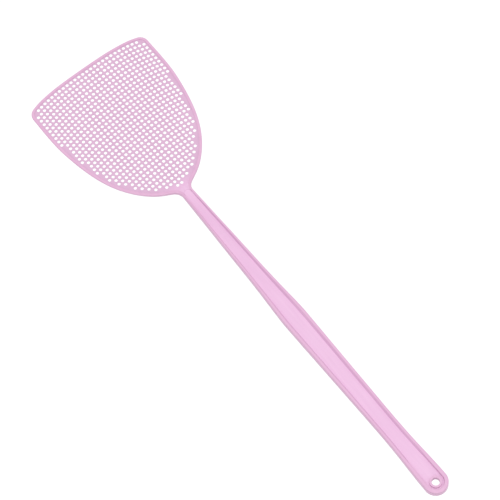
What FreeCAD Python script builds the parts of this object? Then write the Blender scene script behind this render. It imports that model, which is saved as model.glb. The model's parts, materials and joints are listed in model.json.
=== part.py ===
"""Fly swatter, a one-shot plastic moulding: a perforated paddle with a raised rim, a short springy neck,
and a tapering I-section handle that ends in a hanging eye.

Frame: millimetres. +X runs from the butt end to the paddle, +Y is to the left of that, and +Z is up.
Both sides of the moulding are alike, so it can lie on either: here on the handle's flanges at Z = 0, with the
mid-plane half the handle's height above them. The origin is the middle of the footprint.
"""
import FreeCAD
import Part
import math
import os
from FreeCAD import Vector

# Overall
LENGTH = 435.0              # butt end to the middle of the top edge
PADDLE_LENGTH = 135.6       # middle of the top edge to the narrowest place of the neck
NECK_LENGTH = 20.0          # the springy stretch below that place

# Paddle outline, as distances back from the top edge (d) and half-widths (y)
TOP_HALF = 50.0             # half-width at which the two drops below are measured
TOP_BOW = 1.46              # how far the top edge drops at TOP_HALF, with the square of y
TOP_DROOP = 3.44            # what it drops on top of that, with the fourth power of y
TOP_SAMPLES = 6
TOP_CORNER = 54.0           # half-width at which the top edge would meet the side
PADDLE_SIDE = [(34.0, 54.15), (47.5, 53.35), (58.0, 51.85), (79.0, 47.2), (96.0, 40.6), (112.0, 29.8),
               (120.0, 21.4), (124.6, 14.3)]
SHOULDER_FOOT = 129.8       # where the shoulder's straight end would meet the neck's edge
CORNER_RADIUS = 7.5
SHOULDER_RADIUS = 8.4

# Handle outline, as distances below the narrowest place (e) and half-widths (y)
NECK_HALF = 4.45
SHAFT_SIDE = [(20.0, 5.05), (50.0, 6.05), (95.0, 7.5), (118.0, 8.75), (126.0, 9.05), (134.0, 9.05)]
GRIP_SIDE = [(170.0, 8.6), (215.0, 8.05), (255.0, 8.1)]
BUTT_HALF = 9.2

# Sunken panel of the handle, on both faces
PANEL_SHARE = 0.68          # its half-width, as a share of the handle's
PANEL_START = 4.0           # how far it reaches past the narrowest place, towards the paddle
PANEL_RUN_OUT = 17.0        # length over which its floor rises at that end
PANEL_END_RISE = 0.78       # how far the floor has risen there

# Heights, all centred on the mid-plane
GRIP_HEIGHT = 6.0
RIM_HEIGHT = 1.6
HEIGHT_EASE = 18.0          # length of the neck over which the grip's height starts to come down
HEIGHT_FADE = 36.0          # length over which the shoulders come down to the rim's height
WEB_THICKNESS = 1.6
MESH_THICKNESS = 0.8
RIM_WIDTH = 2.1

# Rounding of the moulded edges
OUTER_EDGE_RADIUS = 0.6
PANEL_EDGE_RADIUS = 0.4

# Holes of the paddle: a square grid whose rows bend with the top edge
HOLE_PITCH = 3.75
HOLE_RADIUS = 1.3
HOLE_ROWS = 33
HOLE_COLUMNS = 28
FIRST_ROW = 3.9             # top edge to the first row, at the middle
END_SQUEEZE = 0.7           # how far the end hole of a full row is drawn in
HOLE_MARGIN = 3.61          # nearest that a hole's centre comes to the outline
NARROW_ROW = 26             # first of the rows where the shoulders turn in
NARROW_MARGIN = 4.9         # the same margin there, where the plain border is wider
GUSSET_LENGTH = 8.0         # solid web between the neck and the last holes

# Hanging eye
EYE_RADIUS = 3.0
EYE_WALL = 1.6
EYE_HEIGHT = 4.0
BUTT_LOOP_LENGTH = 21.0     # stretch of the handle that is counted as the loop round the eye

MID = GRIP_HEIGHT / 2
X_TOP = LENGTH / 2
X_NECK = X_TOP - PADDLE_LENGTH
X_SHAFT = X_NECK - NECK_LENGTH
X_BUTT = -LENGTH / 2
X_EYE = X_BUTT + BUTT_HALF
X_LOOP = X_BUTT + BUTT_LOOP_LENGTH
X_MESH = X_NECK + GUSSET_LENGTH
X_RIM = X_NECK + HEIGHT_FADE
LEFT = Vector(0, 1, 0)
FORWARD = Vector(1, 0, 0)
BACK = Vector(-1, 0, 0)


def at_top(d, y):
    """A point on the mid-line or outline, given back from the top edge."""
    return Vector(X_TOP - d, y, 0)


def below_neck(e, y):
    """A point on the mid-line or outline, given below the narrowest place."""
    return Vector(X_NECK - e, y, 0)


def spline(points, start_slope, end_slope):
    curve = Part.BSplineCurve()
    curve.interpolate(Points=points, InitialTangent=start_slope, FinalTangent=end_slope)
    return curve.toShape()


def top_drop(y):
    """How far the top edge, and each row of holes, has dropped at a distance y from the middle."""
    share = y / TOP_HALF
    return TOP_BOW * share ** 2 + TOP_DROOP * share ** 4


def prism(edges):
    """A solid of the grip's height over the outline made by half of its edges and their mirror image."""
    other_half = [edge.mirror(Vector(0, 0, 0), Vector(0, 1, 0)) for edge in edges]
    wire = Part.Wire(Part.__sortEdges__(edges + other_half))
    return Part.Face(wire).extrude(Vector(0, 0, GRIP_HEIGHT))


def upright_edges(solid, x):
    """The two edges of a prism that stand at x."""
    found = []
    for edge in solid.Edges:
        box = edge.BoundBox
        if box.ZLength > GRIP_HEIGHT - 0.01 and abs(box.Center.x - x) < 0.01 and abs(box.Center.y) > 1.0:
            found.append(edge)
    return found


def outline_prism():
    """The swatter's whole outline, from the butt to the top edge."""
    steps = [TOP_CORNER * i / TOP_SAMPLES for i in range(TOP_SAMPLES + 1)]
    top = [at_top(top_drop(y), y) for y in steps]
    side = [top[-1]] + [at_top(d, y) for d, y in PADDLE_SIDE]
    foot = at_top(SHOULDER_FOOT, NECK_HALF)
    butt = Vector(X_EYE, BUTT_HALF, 0)
    handle = [foot] + [below_neck(e, y) for e, y in SHAFT_SIDE + GRIP_SIDE] + [butt]
    middle_of_end = Vector(X_BUTT, 0, 0)
    bend = Vector(X_EYE - BUTT_HALF * math.cos(math.pi / 4), BUTT_HALF * math.sin(math.pi / 4), 0)
    shoulder_slope = (foot - side[-1]).normalize()
    edges = [spline(top, LEFT, top[-1] - top[-2]), spline(side, side[1] - side[0], shoulder_slope),
             Part.makeLine(side[-1], foot), spline(handle, handle[1] - handle[0], BACK),
             Part.Arc(butt, bend, middle_of_end).toShape()]
    solid = prism(edges)
    solid = solid.makeFillet(CORNER_RADIUS, upright_edges(solid, top[-1].x))
    return solid.makeFillet(SHOULDER_RADIUS, upright_edges(solid, foot.x))


def height_block():
    """Everything between the two faces: level over the grip, eased down through the neck to the rim."""
    half_grip = GRIP_HEIGHT / 2
    half_rim = RIM_HEIGHT / 2
    half_neck = (half_grip * HEIGHT_FADE + half_rim * HEIGHT_EASE) / (HEIGHT_FADE + HEIGHT_EASE)
    fall = (half_grip - half_neck) / HEIGHT_EASE
    x_level = X_NECK - HEIGHT_EASE
    edges = []
    for side in (1, -1):
        grip_end = Vector(x_level, -100, MID + side * half_grip)
        neck = Vector(X_NECK, -100, MID + side * half_neck)
        rim_start = Vector(X_RIM, -100, MID + side * half_rim)
        neck_bend = Vector(x_level + HEIGHT_EASE / 2, -100, MID + side * (half_grip - fall * HEIGHT_EASE / 4))
        fade_bend = Vector(X_NECK + HEIGHT_FADE / 2, -100, MID + side * (half_rim + fall * HEIGHT_FADE / 4))
        edges.append(Part.makeLine(Vector(X_BUTT - 5, -100, grip_end.z), grip_end))
        edges.append(Part.Arc(grip_end, neck_bend, neck).toShape())
        edges.append(Part.Arc(neck, fade_bend, rim_start).toShape())
        edges.append(Part.makeLine(rim_start, Vector(X_TOP + 5, -100, rim_start.z)))
    for x, half in ((X_BUTT - 5, half_grip), (X_TOP + 5, half_rim)):
        edges.append(Part.makeLine(Vector(x, -100, MID - half), Vector(x, -100, MID + half)))
    wire = Part.Wire(Part.__sortEdges__(edges))
    return Part.Face(wire).extrude(Vector(0, 200, 0))


def outside_edges(solid):
    """The edges all round the outside, where the two faces meet the outer wall."""
    return [edge for edge in solid.Edges if edge.BoundBox.XLength > 0.1]


def moulding():
    """The whole swatter with both faces flat and its outer edges rounded, before anything is sunk into them."""
    solid = outline_prism().common(height_block()).Solids[0]
    return solid.makeFillet(OUTER_EDGE_RADIUS, outside_edges(solid))


def slab(x_from, x_to, thickness=20.0):
    """A wide block between two stations, centred on the mid-plane."""
    block = Part.makeBox(x_to - x_from, 200, thickness)
    block.translate(Vector(x_from, -100, MID - thickness / 2))
    return block


def panel_prism():
    """The sunken panel's outline, round at both ends."""
    start_half = PANEL_SHARE * NECK_HALF
    end_half = PANEL_SHARE * BUTT_HALF
    start = below_neck(start_half - PANEL_START, start_half)
    end = Vector(X_EYE, end_half, 0)
    side = [start] + [below_neck(e, PANEL_SHARE * y) for e, y in SHAFT_SIDE + GRIP_SIDE] + [end]
    turn = math.sqrt(0.5)
    start_tip = Vector(start.x + start_half, 0, 0)
    start_bend = Vector(start.x + start_half * turn, start_half * turn, 0)
    end_tip = Vector(end.x - end_half, 0, 0)
    end_bend = Vector(end.x - end_half * turn, end_half * turn, 0)
    edges = [Part.Arc(start_tip, start_bend, start).toShape(), spline(side, BACK, BACK),
             Part.Arc(end, end_bend, end_tip).toShape()]
    return prism(edges)


def paddle_field(x_from, x_to):
    """The field inside the paddle's rim, between two stations, the full height of the moulding."""
    paddle = outline_prism().common(slab(X_NECK - 4, X_TOP + 1))
    base = min(paddle.Faces, key=lambda face: face.CenterOfMass.z)
    middle = Vector(X_MESH, 0, 0)
    half = [edge for edge in base.OuterWire.Edges if edge.CenterOfMass.y > 1.0]
    half.sort(key=lambda edge: (edge.CenterOfMass - middle).getAngle(FORWARD))
    points = []
    for edge in half:
        stations = edge.discretize(Number=max(5, int(edge.Length / 5)))
        if (stations[0] - middle).getAngle(FORWARD) > (stations[-1] - middle).getAngle(FORWARD):
            stations.reverse()
        for station in stations[:-1]:
            along = edge.tangentAt(edge.Curve.parameter(station))
            inward = Vector(-along.y, along.x, 0)
            if inward.dot(middle - station) < 0:
                inward = -inward
            points.append(station + inward * RIM_WIDTH)
    points[0] = Vector(X_TOP - RIM_WIDTH, 0, 0)
    side = spline(points, LEFT, points[-1] - points[-2])
    close = Part.makeLine(points[-1], Vector(points[-1].x, 0, 0))
    return prism([side, close]).common(slab(x_from, x_to))


def is_panel_rim(edge):
    """Whether an edge is where the panel's wall comes up to one of the faces."""
    box = edge.BoundBox
    farthest = 0.75 * NECK_HALF if box.XMin > X_SHAFT - 1 else 0.6 * BUTT_HALF
    near_middle = abs(box.Center.y) < farthest and box.XMax < X_MESH
    return near_middle and box.XLength > 0.1 and abs(box.Center.z - MID) > WEB_THICKNESS


def web_block():
    """What is left between the two panels: level, then swelling as each floor rises towards the paddle."""
    half = WEB_THICKNESS / 2
    half_bend = half + PANEL_END_RISE / 4
    half_tip = half + PANEL_END_RISE
    x_tip = X_NECK + PANEL_START
    x_rise = x_tip - PANEL_RUN_OUT
    edges = []
    for side in (1, -1):
        level = Vector(x_rise, -100, MID + side * half)
        bend = Vector(x_rise + PANEL_RUN_OUT / 2, -100, MID + side * half_bend)
        tip = Vector(x_tip, -100, MID + side * half_tip)
        edges.append(Part.makeLine(Vector(X_BUTT, -100, level.z), level))
        edges.append(Part.Arc(level, bend, tip).toShape())
        edges.append(Part.makeLine(tip, Vector(X_TOP, -100, tip.z)))
    for x, height in ((X_BUTT, half), (X_TOP, half_tip)):
        edges.append(Part.makeLine(Vector(x, -100, MID - height), Vector(x, -100, MID + height)))
    wire = Part.Wire(Part.__sortEdges__(edges))
    return Part.Face(wire).extrude(Vector(0, 200, 0))


def hollowed_moulding():
    """The moulding with its panel sunk into both faces, down to the web."""
    sunk = moulding().cut(panel_prism().cut(web_block())).Solids[0]
    return sunk.makeFillet(PANEL_EDGE_RADIUS, [edge for edge in sunk.Edges if is_panel_rim(edge)])


def hole_centres():
    """The square grid of the paddle's holes, as far as it stays clear of the rim."""
    paddle = outline_prism().common(slab(X_NECK, X_TOP + 1))
    base = min(paddle.Faces, key=lambda face: face.CenterOfMass.z)
    centres = []
    for row in range(HOLE_ROWS):
        for column in range(HOLE_COLUMNS // 2):
            share = (2 * column + 1) / (HOLE_COLUMNS - 1)
            y = HOLE_PITCH * (column + 0.5) - END_SQUEEZE * share ** 5
            centre = Vector(X_TOP - FIRST_ROW - HOLE_PITCH * row - top_drop(y), y, 0)
            room = Part.Vertex(centre).distToShape(base.OuterWire)[0]
            margin = NARROW_MARGIN if row >= NARROW_ROW else HOLE_MARGIN
            if base.isInside(centre, 0.01, True) and room > margin:
                centres += [centre, Vector(centre.x, -y, 0)]
    return centres


def swat_mesh():
    """The thin perforated plate inside the rim."""
    plate = paddle_field(X_MESH, X_TOP).common(slab(X_MESH, X_TOP, MESH_THICKNESS))
    drills = [Part.makeCylinder(HOLE_RADIUS, GRIP_HEIGHT, centre) for centre in hole_centres()]
    return plate.cut(Part.makeCompound(drills))


def paddle_rim(whole):
    """The raised band round the paddle, down both shoulders to the neck."""
    return whole.common(slab(X_NECK, X_TOP + 1)).cut(paddle_field(X_NECK - 1, X_TOP))


def shoulder_web(whole):
    """The solid web that fills the rim's narrow end, with the round start of the panel in it."""
    return whole.common(paddle_field(X_NECK, X_MESH))


def flex_neck(whole):
    """The narrowest stretch of the I-section, which bends when the swatter strikes."""
    return whole.common(slab(X_SHAFT, X_NECK))


def handle_web(whole):
    """The thin web along the middle of the handle, the floor of both panels."""
    return whole.common(panel_prism()).common(slab(X_LOOP, X_SHAFT, WEB_THICKNESS))


def left_flange(whole):
    """The raised border along the handle's left side."""
    left_half = Part.makeBox(X_SHAFT - X_LOOP, 50, 20, Vector(X_LOOP, 0, MID - 10))
    return whole.cut(panel_prism()).common(left_half)


def right_flange(whole):
    """The raised border along the handle's right side, the mirror image of the left one."""
    return left_flange(whole).mirror(Vector(0, 0, 0), LEFT)


def butt_loop(whole):
    """The rounded butt end, with a boss in its panel and the hanging hole through that."""
    end = whole.common(slab(X_BUTT - 1, X_LOOP))
    base = Vector(X_EYE, 0, MID - EYE_HEIGHT / 2)
    boss = Part.makeCylinder(EYE_RADIUS + EYE_WALL, EYE_HEIGHT, base)
    hole = Part.makeCylinder(EYE_RADIUS, GRIP_HEIGHT, Vector(X_EYE, 0, 0))
    return end.fuse(boss).cut(hole)


def single_solid(shape):
    """The one solid that a boolean result holds."""
    solids = shape.Solids
    if len(solids) != 1:
        raise ValueError(f"expected one solid, not {len(solids)}")
    return solids[0]


def main():
    os.makedirs("parts", exist_ok=True)
    whole = hollowed_moulding()
    pieces = {
        "swat_mesh": swat_mesh(),
        "paddle_rim": paddle_rim(whole),
        "shoulder_web": shoulder_web(whole),
        "flex_neck": flex_neck(whole),
        "handle_web": handle_web(whole),
        "left_flange": left_flange(whole),
        "right_flange": right_flange(whole),
        "butt_loop": butt_loop(whole),
    }
    for name, shape in pieces.items():
        solid = single_solid(shape)
        solid.exportStep(f"parts/{name}.step")
        print(name, "valid" if solid.isValid() else "NOT VALID", round(solid.Volume / 1000, 3), "cm3")


main()
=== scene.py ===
import json
import math

import bmesh
import bpy
import numpy as np
from mathutils import Matrix, Quaternion, Vector
from mathutils.geometry import convex_hull_2d, delaunay_2d_cdt


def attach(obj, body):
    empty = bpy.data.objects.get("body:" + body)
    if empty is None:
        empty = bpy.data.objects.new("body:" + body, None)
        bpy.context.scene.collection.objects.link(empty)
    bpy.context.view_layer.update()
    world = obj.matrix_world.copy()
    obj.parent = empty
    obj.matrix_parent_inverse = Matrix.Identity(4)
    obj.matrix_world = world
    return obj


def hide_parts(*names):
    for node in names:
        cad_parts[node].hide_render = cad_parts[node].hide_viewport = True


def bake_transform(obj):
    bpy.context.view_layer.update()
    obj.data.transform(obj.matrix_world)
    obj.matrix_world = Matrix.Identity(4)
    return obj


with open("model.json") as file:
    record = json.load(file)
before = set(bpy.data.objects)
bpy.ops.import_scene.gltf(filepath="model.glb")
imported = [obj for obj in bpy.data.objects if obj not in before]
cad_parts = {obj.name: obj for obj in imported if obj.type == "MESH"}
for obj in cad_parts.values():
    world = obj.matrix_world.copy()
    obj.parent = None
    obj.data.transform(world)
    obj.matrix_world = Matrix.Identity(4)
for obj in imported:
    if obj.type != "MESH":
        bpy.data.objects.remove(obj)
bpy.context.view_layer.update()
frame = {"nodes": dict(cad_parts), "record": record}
print("frame loaded:", ", ".join(sorted(frame["nodes"])))

mm = 0.001
midHeight = 3.0 * mm        # both faces are alike, this far above the flanges' undersides
mergeDistance = 0.001 * mm
planeTolerance = 0.002 * mm

# a long lens looks down on the front face, from beyond the butt end and to its left
cameraView = {
    "target": (17.85 * mm, -7.79 * mm, 3.0 * mm),
    "bearing": 147.88,      # degrees round from +X
    "elevation": 65.61,
    "roll": -6.09,
    "distance": 2.168,
    "fieldOfView": 9.727,
    "clip": (0.05, 60.0),
}

# a bright room with one big softbox overhead; the paper is well below, so no shadow gathers on it
studio = {
    "paperColour": "#ffffff",
    "paperRoughness": 0.95,
    "paperIor": 1.45,
    "paperSize": 14.0,
    "paperHeight": -0.5,
    "roomColour": "#fdfdff",
    "roomStrength": 0.74,
    "softboxes": {
        "overheadSoftbox": {"place": (-0.4, -0.1, 4.4), "size": 2.5, "power": 92.0},
    },
}


def linearColour(code):
    channels = []
    for start in (1, 3, 5):
        value = int(code[start:start + 2], 16) / 255
        channels.append(value / 12.92 if value <= 0.04045 else ((value + 0.055) / 1.055) ** 2.4)
    return (*channels, 1.0)


def addNode(tree, kind, settings=None, links=None):
    node = tree.nodes.new(kind)
    for name, value in (settings or {}).items():
        if name in node.inputs:
            node.inputs[name].default_value = value
        else:
            setattr(node, name, value)
    for name, socket in (links or {}).items():
        tree.links.new(socket, node.inputs[name])
    return node


def emptyMaterial(name):
    material = bpy.data.materials.new(name)
    material.use_nodes = True
    material.node_tree.nodes.clear()
    return material, material.node_tree


def placeObject(name, data):
    placed = bpy.data.objects.new(name, data)
    bpy.context.scene.collection.objects.link(placed)
    return placed


def placeCamera(view):
    bearing = math.radians(view["bearing"])
    elevation = math.radians(view["elevation"])
    towards = Vector((math.cos(elevation) * math.cos(bearing),
                      math.cos(elevation) * math.sin(bearing),
                      math.sin(elevation)))
    lens = bpy.data.cameras.new("swatterCamera")
    lens.angle = math.radians(view["fieldOfView"])
    lens.clip_start, lens.clip_end = view["clip"]
    camera = placeObject("swatterCamera", lens)
    camera.location = Vector(view["target"]) + towards * view["distance"]
    camera.rotation_mode = "QUATERNION"
    level = towards.to_track_quat("Z", "Y")
    camera.rotation_quaternion = level @ Quaternion((0, 0, 1), math.radians(view["roll"]))
    bpy.context.scene.camera = camera


def buildStudio(values):
    bm = bmesh.new()
    bmesh.ops.create_grid(bm, x_segments=2, y_segments=2, size=values["paperSize"] / 2)
    bmesh.ops.translate(bm, verts=bm.verts, vec=(0, 0, values["paperHeight"]))
    mesh = bpy.data.meshes.new("backdropPaper")
    bm.to_mesh(mesh)
    bm.free()
    # uncoated white backdrop paper, which only scatters
    paper, tree = emptyMaterial("uncoatedBackdropPaper")
    sheet = addNode(tree, "ShaderNodeBsdfPrincipled",
                    {"Base Color": linearColour(values["paperColour"]),
                     "Roughness": values["paperRoughness"], "IOR": values["paperIor"]})
    addNode(tree, "ShaderNodeOutputMaterial", links={"Surface": sheet.outputs["BSDF"]})
    mesh.materials.append(paper)
    placeObject("backdropPaper", mesh)

    room = bpy.data.worlds.new("brightRoom")
    room.use_nodes = True
    glow = room.node_tree.nodes["Background"]
    glow.inputs["Color"].default_value = linearColour(values["roomColour"])
    glow.inputs["Strength"].default_value = values["roomStrength"]
    bpy.context.scene.world = room

    for name, box in values["softboxes"].items():
        light = bpy.data.lights.new(name, "AREA")
        light.shape = "DISK"
        light.size = box["size"]
        light.energy = box["power"]
        placed = placeObject(name, light)
        placed.location = box["place"]
        placed.rotation_mode = "QUATERNION"
        placed.rotation_quaternion = Vector(box["place"]).to_track_quat("Z", "Y")
    bpy.context.scene.view_settings.view_transform = "Standard"


placeCamera(cameraView)
buildStudio(studio)
print("camera and studio ready")


# Low-density polyethylene, injection moulded in a satin-polished tool: a milky pink with a soft broad
# shine, faint streaks where the melt ran and a shallow ripple.
pinkFinishes = {
    # the rim and flanges are the thickest runs, so their colour is deepest
    "flangePinkPolyethylene": {
        "colour": "#d5a6c6",
        "streakColour": "#d9acca",
        "roughness": (0.36, 0.46),
    },
    # the thin web lets more light through, so it is paler; the same pale pink is painted on the panel's
    # inner walls as painted light over their shade
    "paleWebAndLitWallPolyethylene": {
        "colour": "#deb3d3",
        "streakColour": "#e2b9d7",
        "roughness": (0.34, 0.42),
    },
    # the plate is duller, with the edges of its many holes, and painted darker and greyer: partly painted
    # shade, standing in for the shadowed walls of the holes
    "holeShadedPlatePolyethylene": {
        "colour": "#cfa6c4",
        "streakColour": "#d3abc8",
        "roughness": (0.42, 0.52),
        # the plain stretch beside the neck has no holes, so no painted hole shade, and has the web's colour
        "neckColour": "#e0b6d5",
        "neckStretch": (89.0 * mm, 99.0 * mm),
    },
}
pinkSurface = {
    "ior": 1.51,
    "streakSize": (40.0 * mm, 2.5 * mm, 2.5 * mm),
    "streakDetail": 3.0,
    "colourRange": (0.35, 0.65),    # the part of the streaks' noise that the colours spread over
    "shineRange": (0.3, 0.7),       # and the part that the roughness spreads over
    "rippleSize": 1.6 * mm,     # nearer 0.5 mm on the real moulding, drawn coarser so that it can be seen
    "rippleDetail": 2.0,
    "rippleHeight": 0.012 * mm,
}


def pinkPolyethylene(name, values, surface):
    material, tree = emptyMaterial(name)
    place = addNode(tree, "ShaderNodeTexCoord")
    drawnOut = addNode(tree, "ShaderNodeMapping", {"Scale": [1 / size for size in surface["streakSize"]]},
                       {"Vector": place.outputs["Object"]})
    streaks = addNode(tree, "ShaderNodeTexNoise", {"Scale": 1.0, "Detail": surface["streakDetail"]},
                      {"Vector": drawnOut.outputs["Vector"]})
    colour = addNode(tree, "ShaderNodeValToRGB", links={"Fac": streaks.outputs["Fac"]})
    codes = (values["colour"], values["streakColour"])
    for stop, position, code in zip(colour.color_ramp.elements, surface["colourRange"], codes):
        stop.position = position
        stop.color = linearColour(code)
    tint = colour.outputs["Color"]
    if "neckColour" in values:
        near, far = values["neckStretch"]
        along = addNode(tree, "ShaderNodeSeparateXYZ", links={"Vector": place.outputs["Object"]})
        share = addNode(tree, "ShaderNodeMapRange",
                        {"interpolation_type": "SMOOTHSTEP", "From Min": near, "From Max": far,
                         "To Min": 1.0, "To Max": 0.0},
                        {"Value": along.outputs["X"]})
        eased = addNode(tree, "ShaderNodeMixRGB", {"Color2": linearColour(values["neckColour"])},
                        {"Fac": share.outputs["Result"], "Color1": tint})
        tint = eased.outputs["Color"]
    start, end = surface["shineRange"]
    low, high = values["roughness"]
    shine = addNode(tree, "ShaderNodeMapRange",
                    {"From Min": start, "From Max": end, "To Min": low, "To Max": high},
                    {"Value": streaks.outputs["Fac"]})
    ripple = addNode(tree, "ShaderNodeTexNoise",
                     {"Scale": 1 / surface["rippleSize"], "Detail": surface["rippleDetail"]},
                     {"Vector": place.outputs["Object"]})
    relief = addNode(tree, "ShaderNodeBump", {"Strength": 1.0, "Distance": surface["rippleHeight"]},
                     {"Height": ripple.outputs["Fac"]})
    shader = addNode(tree, "ShaderNodeBsdfPrincipled",
                     {"IOR": surface["ior"]},
                     {"Base Color": tint, "Roughness": shine.outputs["Result"],
                      "Normal": relief.outputs["Normal"]})
    addNode(tree, "ShaderNodeOutputMaterial", links={"Surface": shader.outputs["BSDF"]})
    return material


# the plate's pink carries painted hole shade, and the web's paler pink is also painted on the panel's walls
# as painted light
flangePink, paleWebAndLitWallPink, holeShadedPlatePink = [pinkPolyethylene(name, values, pinkSurface)
                                 for name, values in pinkFinishes.items()]
print("finishes ready")


def mergedCopy(nodeName):
    # the CAD's own shading normals go along as a corner attribute, since merging would lose them
    source = frame["nodes"][nodeName].data.copy()
    moulded = source.attributes.new("mouldedNormal", "FLOAT_VECTOR", "CORNER")
    for corner, normal in zip(moulded.data, source.corner_normals):
        corner.vector = normal.vector
    bm = bmesh.new()
    bm.from_mesh(source)
    bpy.data.meshes.remove(source)
    bmesh.ops.remove_doubles(bm, verts=bm.verts, dist=mergeDistance)
    return bm


def cutAcross(bm, start, end, cuts):
    for cut in range(1, cuts):
        station = start + (end - start) * cut / cuts
        bmesh.ops.bisect_plane(bm, geom=bm.verts[:] + bm.edges[:] + bm.faces[:], dist=planeTolerance,
                               plane_co=(station, 0, 0), plane_no=(1, 0, 0))
    bmesh.ops.remove_doubles(bm, verts=bm.verts, dist=mergeDistance)


# shading of a piece that has no normals from the CAD to keep
evenShading = {
    "sharpAngle": 50,
    "weight": 90,
}


def makePiece(name, bm, nodeName, materials):
    bmesh.ops.recalc_face_normals(bm, faces=bm.faces)
    mesh = bpy.data.meshes.new(name)
    bm.to_mesh(mesh)
    bm.free()
    mesh.shade_smooth()
    for material in materials:
        mesh.materials.append(material)
    piece = placeObject(name, mesh)
    moulded = mesh.attributes.get("mouldedNormal")
    if moulded:
        mesh.normals_split_custom_set([corner.vector.normalized() for corner in moulded.data])
        mesh.attributes.remove(mesh.attributes["mouldedNormal"])
    else:
        mesh.set_sharp_from_angle(angle=math.radians(evenShading["sharpAngle"]))
        evenNormals = piece.modifiers.new("evenNormals", "WEIGHTED_NORMAL")
        evenNormals.weight = evenShading["weight"]
        evenNormals.keep_sharp = True
    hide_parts(nodeName)
    print(name, "has", len(mesh.polygons), "faces")
    return piece


def separateParts(bm):
    # the corner points of each part that hangs together
    seen = set()
    for first in bm.verts:
        if first in seen:
            continue
        seen.add(first)
        part = [first]
        for vert in part:       # the part grows as it is walked
            for edge in vert.link_edges:
                other = edge.other_vert(vert)
                if other not in seen:
                    seen.add(other)
                    part.append(other)
        yield [vert.co.copy() for vert in part]


swatPlate = {
    "halfThickness": 0.4 * mm,
    "holeRadius": 1.3 * mm,
    "holeSides": 12,
    "lipRound": 0.14 * mm,      # the holes' edges are eased, as the steel pins leave them
    "intoRim": 0.7 * mm,        # how far the plate runs on inside the rim
}


def holeLip(values):
    # the wall of one hole, flaring a little at both faces
    radius, half, lip = values["holeRadius"], values["halfThickness"], values["lipRound"]
    bm = bmesh.new()
    bmesh.ops.create_circle(bm, segments=values["holeSides"], radius=radius + lip)
    bmesh.ops.translate(bm, verts=bm.verts, vec=(0, 0, half))
    ring = bm.edges[:]
    for ringRadius, height in ((radius, half - lip), (radius, lip - half), (radius + lip, -half)):
        grown = bmesh.ops.extrude_edge_only(bm, edges=ring)["geom"]
        ring = [item for item in grown if isinstance(item, bmesh.types.BMEdge)]
        for vert in {vert for edge in ring for vert in edge.verts}:
            vert.co = (*vert.co.xy.normalized() * ringRadius, height)
    mesh = bpy.data.meshes.new("holeLip")
    bm.to_mesh(mesh)
    bm.free()
    return mesh


def fillPlateFace(bm, height, vertsPerHole, holes):
    # triangles between the holes and out to the border, but none across a hole
    bm.verts.index_update()
    verts = [vert for vert in bm.verts if abs(vert.co.z - height) < planeTolerance]
    order = {vert: i for i, vert in enumerate(verts)}
    rims = [edge for edge in bm.edges if edge.is_boundary and all(vert in order for vert in edge.verts)]
    pairs = [tuple(order[vert] for vert in edge.verts) for edge in rims]
    flatPoints = [vert.co.xy for vert in verts]
    _, _, triangles, sources, _, _ = delaunay_2d_cdt(flatPoints, pairs, [], 0, mergeDistance / 10)
    for triangle in triangles:
        corners = [verts[sources[i][0]] for i in triangle]
        owners = {corner.index // vertsPerHole for corner in corners}
        if len(owners) > 1 or owners.pop() >= holes:
            bm.faces.new(corners)


def lengthAlong(part):
    return max(point.x for point in part) - min(point.x for point in part)


def middleOf(points):
    # the sums are exact, so the points' order makes no difference
    return Vector([math.fsum(values) / len(points) for values in zip(*points)])


def buildSwatMesh(values):
    # without its faces, the plate falls apart into one short tube per hole and its outer wall
    bm = mergedCopy("swat_mesh")
    flat = [face for face in bm.faces if abs(face.normal.z) > 0.5]      # these look up or down
    bmesh.ops.delete(bm, geom=flat, context="FACES_ONLY")
    flatEdges = [edge for edge in bm.edges if not edge.link_faces]
    bmesh.ops.delete(bm, geom=flatEdges, context="EDGES")
    parts = sorted(separateParts(bm), key=lengthAlong)
    bm.free()
    wall = parts.pop()
    centres = sorted((middleOf(part) for part in parts), key=tuple)

    bm = bmesh.new()
    lip = holeLip(values)
    vertsPerHole = len(lip.vertices)
    before = Vector()
    for centre in centres:
        here = Vector((centre.x, centre.y, 0))
        lip.transform(Matrix.Translation(here - before))
        before = here
        bm.from_mesh(lip)
    bpy.data.meshes.remove(lip)

    middle = middleOf(centres).xy
    border = [wall[i].xy for i in convex_hull_2d([point.xy for point in wall])]
    border = [point + (point - middle).normalized() * values["intoRim"] for point in border]
    for height in (values["halfThickness"], -values["halfThickness"]):
        corners = [bm.verts.new((*point, height)) for point in border]
        for start, end in zip(corners, corners[1:] + corners[:1]):
            bm.edges.new((start, end))
    bmesh.ops.bridge_loops(bm, edges=[edge for edge in bm.edges if edge.is_wire])
    for height in (values["halfThickness"], -values["halfThickness"]):
        fillPlateFace(bm, height, vertsPerHole, len(centres))
    bmesh.ops.translate(bm, verts=bm.verts, vec=(0, 0, midHeight))
    print("plate with", len(centres), "holes")
    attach(makePiece("swatMesh", bm, "swat_mesh", [holeShadedPlatePink]), "paddle")


neckBend = {
    "start": 61.9 * mm,
    "end": 81.9 * mm,
    "cuts": 24,
}

# the panel's walls lean outwards, so that the moulding comes off its steel core
panelDraft = {
    "panelShare": 0.68,         # the panel's half-width, as a share of the handle's
    "rimShare": 0.81,           # inside this lies everything that moves with the panel's rim
    "lean": 0.065,              # how far each end of the wall moves, as such a share
    "floor": 0.8 * mm,          # half the web's thickness
    "face": 3.0 * mm,           # half the flanges' height
    "fadeFrom": 64.0 * mm,
    "fadeTo": 80.0 * mm,
    "buttFrom": -180.0 * mm,
    "buttTo": -194.0 * mm,
    "buttCuts": 8,
    "sideways": 0.9,            # what looks outwards as squarely as this belongs to the outline
}

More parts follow.
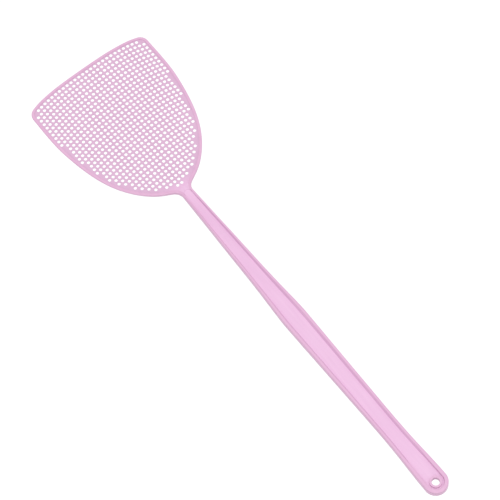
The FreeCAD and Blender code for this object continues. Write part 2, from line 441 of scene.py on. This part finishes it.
# how near to the mid-plane the panel's floor and walls stay, and the hole that isn't part of them; the walls
# take the pale pink as painted light over their shade
hangHole = next(mount for mount in frame["record"]["mounts"] if mount["name"] == "hang_hole")
panelAndLitWallColouring = {
    "floorBelow": 1.7 * mm,
    "floorFlatness": 0.8,
    "litWallBelow": 2.6 * mm,
    "litWallSteepness": 0.5,
    "hole": Vector(hangHole["pos_m"]).xy,
    "holeReach": (hangHole["dims"]["r_mm"] + 0.5) * mm,     # just past the bore's own wall
}


def fade(value, start, end):
    # 1 up to the start, 0 past the end and smooth between
    share = min(max((value - start) / (end - start), 0), 1)
    return 1 - share * share * (3 - 2 * share)


def leanPanelWalls(bm, values):
    bm.normal_update()
    outline = sorted((vert.co.x, abs(vert.co.y)) for vert in bm.verts
                     if abs(vert.normal.y) > values["sideways"] and vert.normal.y * vert.co.y > 0)
    stations, halfWidths = zip(*outline)
    normalLayer = bm.loops.layers.float_vector["mouldedNormal"]
    halfDepth = (values["face"] - values["floor"]) / 2
    for vert in bm.verts:
        x, y, height = vert.co.x, vert.co.y, vert.co.z - midHeight
        if abs(y) > values["rimShare"] * np.interp(x, stations, halfWidths):
            continue
        share = fade(x, values["fadeFrom"], values["fadeTo"]) * fade(x, values["buttFrom"], values["buttTo"])
        lean = share * values["lean"] / values["panelShare"]
        rise = max((abs(height) - values["floor"]) / halfDepth - 1, -1)
        vert.co.y = y * (1 + lean * rise)
        # the shading normals turn with the walls
        shear = lean * y / halfDepth * math.copysign(1, height) if rise > -1 else 0
        for loop in vert.link_loops:
            normal = loop[normalLayer]
            loop[normalLayer] = (normal.x, normal.y, normal.z - shear * normal.y)


def colourPanelAndLightenWalls(bm, values):
    # the sunken floor is the web's pink, the walls that face it get the same pale pink as painted light over
    # their shade, and the rest is the flanges'
    for face in bm.faces:
        centre = face.calc_center_median()
        depth = abs(centre.z - midHeight)
        floor = depth < values["floorBelow"] and abs(face.normal.z) > values["floorFlatness"]
        inward = face.normal.y * centre.y < 0 and abs(face.normal.y) > values["litWallSteepness"]
        # the walls facing the floor: painted lighter, over their shade
        wall = depth < values["litWallBelow"] and inward
        bore = (centre.xy - values["hole"]).length < values["holeReach"]
        face.material_index = 1 if (floor or wall) and not bore else 0


def buildFlexNeck(values, draft):
    # cut across at even stations along the neck, so that it has loops along its length
    bm = mergedCopy("flex_neck")
    cutAcross(bm, values["start"], values["end"], values["cuts"])
    leanPanelWalls(bm, draft)
    colourPanelAndLightenWalls(bm, panelAndLitWallColouring)
    neck = makePiece("flexNeck", bm, "flex_neck", [flangePink, paleWebAndLitWallPink])
    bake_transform(neck)


def buildFlange(name, nodeName, draft):
    bm = mergedCopy(nodeName)
    cutAcross(bm, draft["buttTo"], draft["buttFrom"], draft["buttCuts"])
    leanPanelWalls(bm, draft)
    colourPanelAndLightenWalls(bm, panelAndLitWallColouring)
    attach(makePiece(name, bm, nodeName, [flangePink, paleWebAndLitWallPink]), "handle")


def buildButtLoop():
    bm = mergedCopy("butt_loop")
    colourPanelAndLightenWalls(bm, panelAndLitWallColouring)
    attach(makePiece("buttLoop", bm, "butt_loop", [flangePink, paleWebAndLitWallPink]), "handle")


buildSwatMesh(swatPlate)
buildFlexNeck(neckBend, panelDraft)
buildFlange("leftFlange", "left_flange", panelDraft)
buildFlange("rightFlange", "right_flange", panelDraft)
buildButtLoop()


def coat(nodeName, material):
    data = frame["nodes"][nodeName].data
    data.materials.clear()
    data.materials.append(material)


coat("paddle_rim", flangePink)
for nodeName in ("handle_web", "shoulder_web"):
    coat(nodeName, paleWebAndLitWallPink)
print("mouldings coated")
